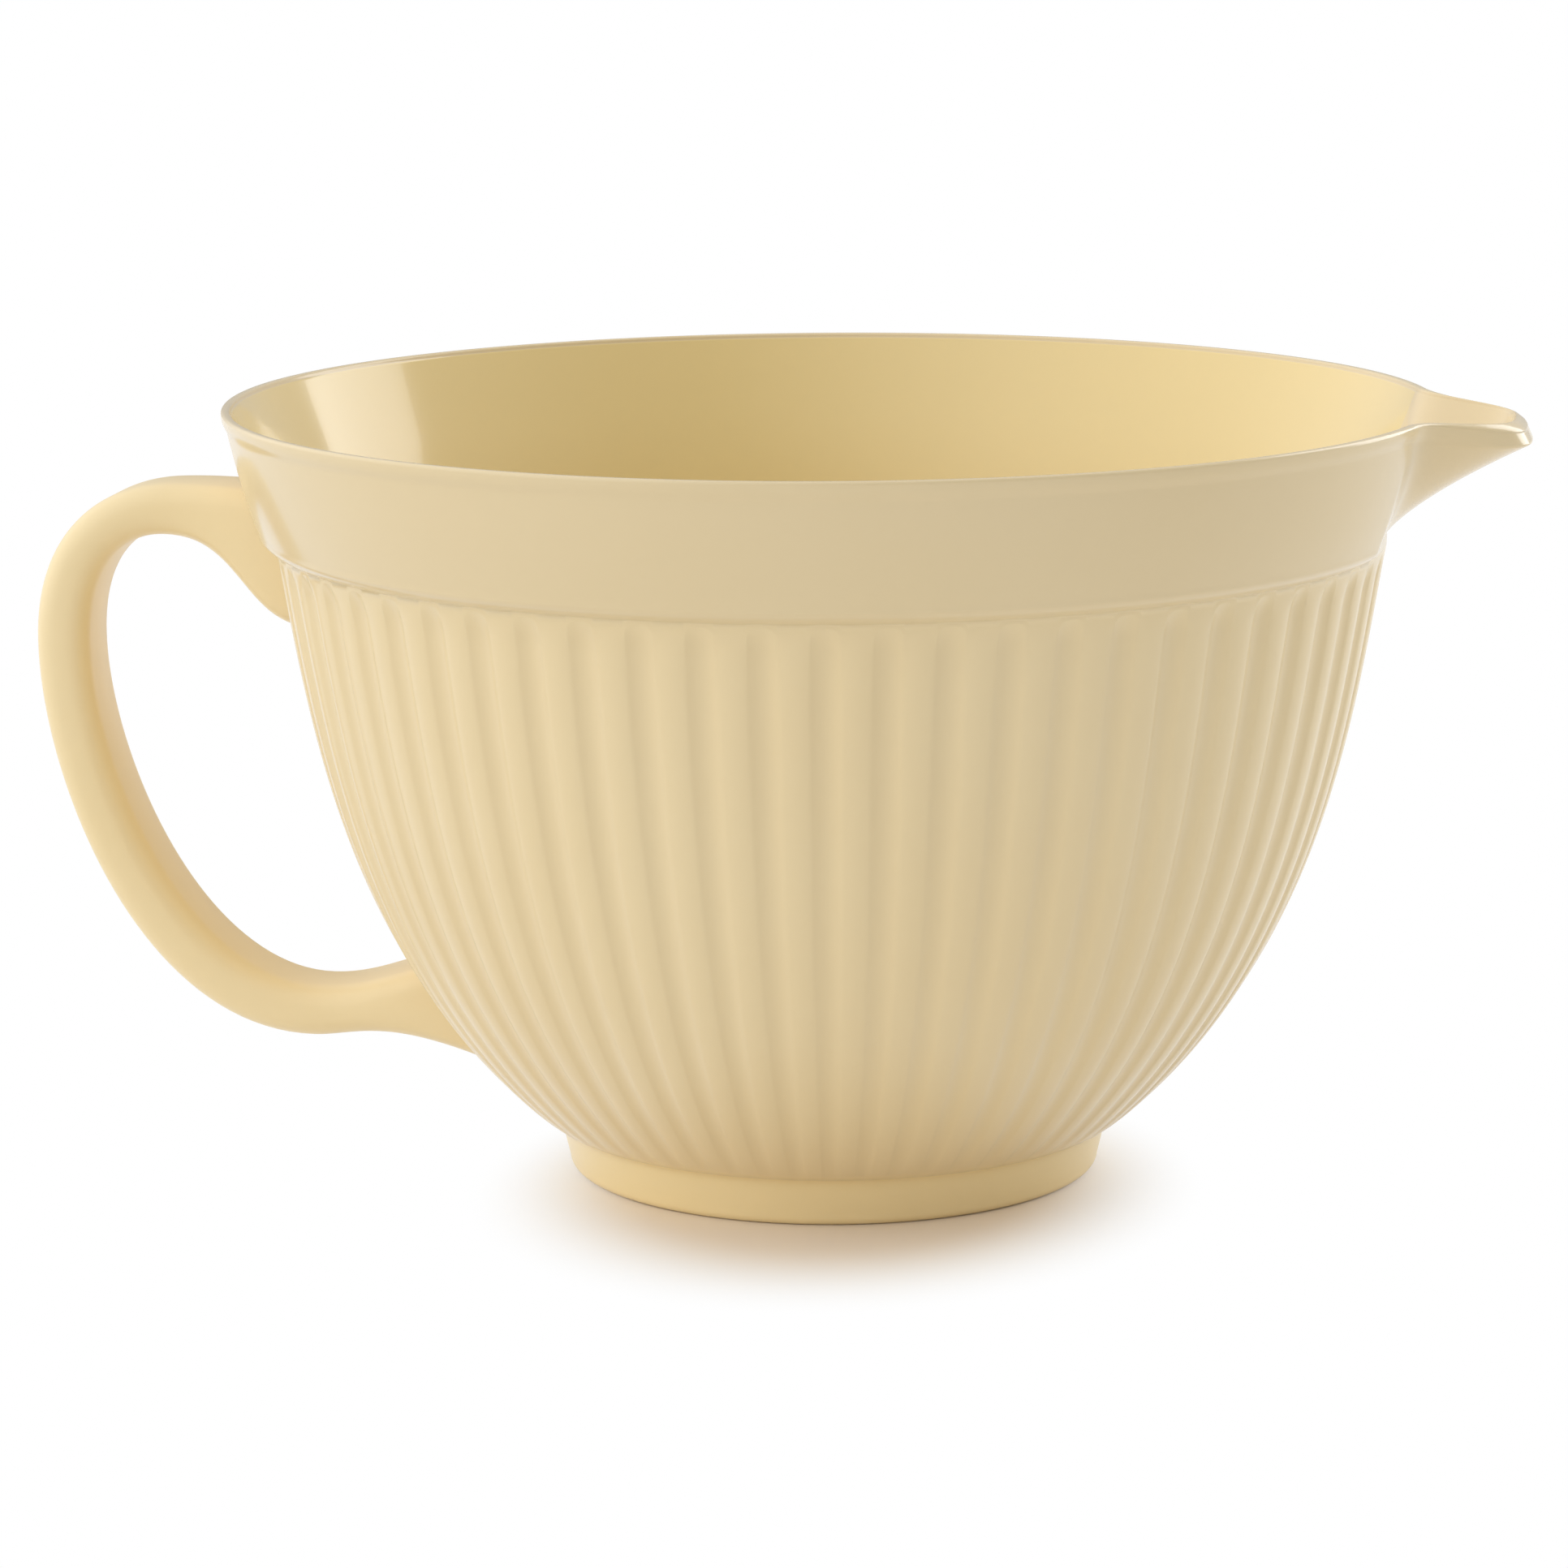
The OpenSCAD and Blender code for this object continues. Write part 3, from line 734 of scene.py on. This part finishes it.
outer_line, inner_line, along = [], [], []
for k in range(4):
    t = np.linspace(0, 1, curve_steps[k] + 1)
    keep = slice(0, None) if k == 3 else slice(0, -1)
    outer_line.append(bezier(outer_curves[k], t)[keep])
    inner_line.append(bezier(inner_curves[k], t)[keep])
    along.append((k + t)[keep])
outer_line, inner_line, along = np.vstack(outer_line), np.vstack(inner_line), np.concatenate(along)
near_root = np.maximum(smooth(1 - along), smooth(along - 3))
handle_width = GRIP_W + (ROOT_W - GRIP_W) * near_root
handle_points = handle_sections(outer_line, inner_line, handle_width, GRIP_EDGE)
ring_size = handle_points.shape[1]
flat = handle_points.reshape(-1, 3)
handle_normals = grid_normals(handle_points, False, True, 1.0)
centres = np.stack([-(outer_line + inner_line)[:, 0] / 2, 0 * along,
                    (outer_line + inner_line)[:, 1] / 2], -1)
facing = (handle_normals * (handle_points - centres[:, None, :])).sum(-1).mean()
handle_normals *= np.sign(facing)


def handle_piece(name, begin, end, slot, *nodes):
    """One stretch of the handle as a closed piece, from one ring to another."""
    points = handle_points[begin:end + 1]
    normals = handle_normals[begin:end + 1]
    count = len(points)
    number = np.arange(count * ring_size).reshape(count, ring_size)
    quads = []
    for k in range(count - 1):
        quads += strip_faces(number[k], number[k + 1], True).tolist()
    first_point, second_point = points[0].mean(0), points[1].mean(0)
    turned = np.cross(points[0, 1] - points[0, 0], points[1, 0] - points[0, 0])
    if (turned * (points[0, 0] - first_point)).sum() < 0:
        quads = [q[::-1] for q in quads]
        caps = [number[0].tolist(), number[-1].tolist()[::-1]]
    else:
        caps = [number[0].tolist()[::-1], number[-1].tolist()]
    return put_piece(name, points.reshape(-1, 3), normals.reshape(-1, 3), quads, caps,
                     [handle_cream_painted_light], [0] * len(quads), slot, *nodes)


grip_start, grip_end = curve_steps[0], sum(curve_steps[:3])
handle_piece("handle_upper_root_piece", 0, grip_start, "handle", "handle_upper_root")
handle_piece("handle_grip_piece", grip_start, grip_end, "handle", "handle_grip")
handle_piece("handle_lower_root_piece", grip_end, len(along) - 1, "handle", "handle_lower_root")


# ---- floor, backdrop and light ----

def stage_material():
    """A plain pale floor. The camera, and rays that mirror it, see white far from the object
    and the lit floor with its shadow near it, where the floor's tone is painted warmer and darker as
    painted shade."""
    material = bpy.data.materials.new("pale_floor")
    material.use_nodes = True
    tree = material.node_tree
    shader = tree.nodes["Principled BSDF"]
    shader.inputs["Roughness"].default_value = 0.9
    shader.inputs["Specular IOR Level"].default_value = 0.1
    grain = tree.nodes.new("ShaderNodeTexNoise")
    grain.inputs["Scale"].default_value = 40.0
    place = tree.nodes.new("ShaderNodeTexCoord")
    tree.links.new(place.outputs["Object"], grain.inputs["Vector"])
    tone = tree.nodes.new("ShaderNodeMix")
    tone.data_type = "RGBA"
    tone.inputs[6].default_value = (0.90, 0.88, 0.84, 1.0)
    tone.inputs[7].default_value = (0.92, 0.905, 0.87, 1.0)
    tree.links.new(grain.outputs["Fac"], tone.inputs["Factor"])
    white = tree.nodes.new("ShaderNodeEmission")
    white.inputs["Strength"].default_value = 1.0
    path = tree.nodes.new("ShaderNodeLightPath")
    seen = tree.nodes.new("ShaderNodeMath")
    seen.operation = "MAXIMUM"
    tree.links.new(path.outputs["Is Camera Ray"], seen.inputs[0])
    tree.links.new(path.outputs["Is Glossy Ray"], seen.inputs[1])
    stretch = tree.nodes.new("ShaderNodeMapping")
    stretch.inputs["Location"].default_value = (-0.005, 0.022, 0.0)
    stretch.inputs["Scale"].default_value = (1.25, 1.0, 0.0)
    tree.links.new(place.outputs["Object"], stretch.inputs["Vector"])
    reach = tree.nodes.new("ShaderNodeVectorMath")
    reach.operation = "LENGTH"
    tree.links.new(stretch.outputs["Vector"], reach.inputs[0])
    far = tree.nodes.new("ShaderNodeMapRange")
    far.interpolation_type = "SMOOTHSTEP"
    far.inputs["From Min"].default_value = SHADOW_KEEP
    far.inputs["From Max"].default_value = SHADOW_END
    tree.links.new(reach.outputs["Value"], far.inputs["Value"])
    # painted shade: near the object the floor's tone turns warmer and darker, tinting its shadow
    floor_tone_painted_shade = tree.nodes.new("ShaderNodeMix")
    floor_tone_painted_shade.data_type = "RGBA"
    floor_tone_painted_shade.inputs[6].default_value = (0.88, 0.79, 0.69, 1.0)
    tree.links.new(far.outputs["Result"], floor_tone_painted_shade.inputs["Factor"])
    tree.links.new(tone.outputs[2], floor_tone_painted_shade.inputs[7])
    tree.links.new(floor_tone_painted_shade.outputs[2], shader.inputs["Base Color"])
    share = tree.nodes.new("ShaderNodeMath")
    share.operation = "MULTIPLY"
    tree.links.new(seen.outputs[0], share.inputs[0])
    tree.links.new(far.outputs["Result"], share.inputs[1])
    mix = tree.nodes.new("ShaderNodeMixShader")
    tree.links.new(share.outputs[0], mix.inputs["Fac"])
    tree.links.new(shader.outputs["BSDF"], mix.inputs[1])
    tree.links.new(white.outputs["Emission"], mix.inputs[2])
    tree.links.new(mix.outputs["Shader"], tree.nodes["Material Output"].inputs["Surface"])
    return material


SHADOW_KEEP = 0.045
SHADOW_END = 0.092
FLOOR_HALF = 3.0
floor_mesh = bpy.data.meshes.new("floor")
floor_mesh.from_pydata([(-FLOOR_HALF, -FLOOR_HALF, 0), (FLOOR_HALF, -FLOOR_HALF, 0),
                        (FLOOR_HALF, FLOOR_HALF, 0), (-FLOOR_HALF, FLOOR_HALF, 0)], [], [(0, 1, 2, 3)])
floor_mesh.materials.append(stage_material())
floor_object = bpy.data.objects.new("floor", floor_mesh)
bpy.context.scene.collection.objects.link(floor_object)

world = bpy.data.worlds.new("studio")
bpy.context.scene.world = world
world.use_nodes = True
sky = world.node_tree
sky_fill, sky_path = sky.nodes["Background"], sky.nodes.new("ShaderNodeLightPath")
sky_way = sky.nodes.new("ShaderNodeTexCoord").outputs["Generated"]


def build_glow_group():
    """A broad soft patch of light on the sky: 1 in the axis's direction and 0 beyond an edge.
    Near and Far are the cosines of the angles at which it is full and gone."""
    group, given, out = new_group("soft_glow", [
        ("Way", "NodeSocketVector", (0.0, 0.0, 0.0)),
        ("Axis", "NodeSocketVector", (0.0, 0.0, 1.0)),
        ("Far", "NodeSocketFloat", 0.0),
        ("Near", "NodeSocketFloat", 1.0)], [("Value", "NodeSocketFloat")])
    facing = group.nodes.new("ShaderNodeVectorMath")
    facing.operation = "DOT_PRODUCT"
    group.links.new(given.outputs["Way"], facing.inputs[0])
    group.links.new(given.outputs["Axis"], facing.inputs[1])
    fade = group.nodes.new("ShaderNodeMapRange")
    fade.interpolation_type = "SMOOTHSTEP"
    group.links.new(facing.outputs["Value"], fade.inputs["Value"])
    group.links.new(given.outputs["Far"], fade.inputs["From Min"])
    group.links.new(given.outputs["Near"], fade.inputs["From Max"])
    group.links.new(fade.outputs["Result"], out.inputs["Value"])
    return group


glow_group = build_glow_group()
SKY_FILL = 0.33
SKY_GLOWS = [((-0.86, -0.20, 0.47), -0.1, 1.0, 1.25),
             ((0.75, 0.60, 0.28), 0.3, 1.0, 0.4)]
level_now = sky.nodes.new("ShaderNodeValue").outputs[0]
level_now.default_value = SKY_FILL
for axis, far_edge, near_edge, amount in SKY_GLOWS:
    glow = sky.nodes.new("ShaderNodeGroup")
    glow.node_tree = glow_group
    glow.inputs["Axis"].default_value = Vector(axis).normalized()
    glow.inputs["Far"].default_value = far_edge
    glow.inputs["Near"].default_value = near_edge
    sky.links.new(sky_way, glow.inputs["Way"])
    add = sky.nodes.new("ShaderNodeMath")
    add.operation = "MULTIPLY_ADD"
    add.inputs[1].default_value = amount
    sky.links.new(glow.outputs["Value"], add.inputs[0])
    sky.links.new(level_now, add.inputs[2])
    level_now = add.outputs[0]
seen_level = sky.nodes.new("ShaderNodeMix")
seen_level.data_type = "FLOAT"
sky.links.new(sky_path.outputs["Is Camera Ray"], seen_level.inputs["Factor"])
sky.links.new(level_now, seen_level.inputs[2])
seen_level.inputs[3].default_value = 1.0
sky.links.new(seen_level.outputs[0], sky_fill.inputs["Strength"])
sky_fill.inputs["Color"].default_value = (1.0, 1.0, 1.0, 1.0)


def put_light(name, place, aim, width, height, power, tone):
    """A soft rectangular light at a place, turned to face a point. Metres and watts."""
    lamp = bpy.data.lights.new(name, "AREA")
    lamp.shape = "RECTANGLE"
    lamp.size, lamp.size_y = width, height
    lamp.energy = power
    lamp.color = tone
    holder = bpy.data.objects.new(name, lamp)
    bpy.context.scene.collection.objects.link(holder)
    holder.location = place
    holder.rotation_euler = (Vector(aim) - Vector(place)).to_track_quat("-Z", "Y").to_euler()


middle = (0.0, 0.0, 0.08)
put_light("window_right", (0.80, 0.68, 0.50), middle, 0.56, 1.0, 5.0, (0.98, 0.99, 1.0))

# ---- camera ----

LENS = 125.79
SENSOR = 36.0
EYE = Vector((0.0, -1078.08, 286.60)) * MM
PITCH, YAW, ROLL = math.radians(11.002), math.radians(-0.5122), math.radians(-0.3735)
PART_TURN = math.radians(8.35)
ahead = Vector((math.sin(YAW) * math.cos(PITCH), math.cos(YAW) * math.cos(PITCH), -math.sin(PITCH)))
level = Vector((math.cos(YAW), -math.sin(YAW), 0.0))
upward = level.cross(ahead)
side = math.cos(ROLL) * level + math.sin(ROLL) * upward
upward = -math.sin(ROLL) * level + math.cos(ROLL) * upward
aim = Matrix((side, upward, -ahead)).transposed().to_4x4()
camera_data = bpy.data.cameras.new("camera")
camera_data.lens = LENS
camera_data.sensor_width = SENSOR
camera = bpy.data.objects.new("camera", camera_data)
bpy.context.scene.collection.objects.link(camera)
camera.matrix_world = Matrix.Rotation(PART_TURN, 4, "Z") @ Matrix.Translation(EYE) @ aim
bpy.context.scene.camera = camera
bpy.context.scene.view_settings.view_transform = "Standard"
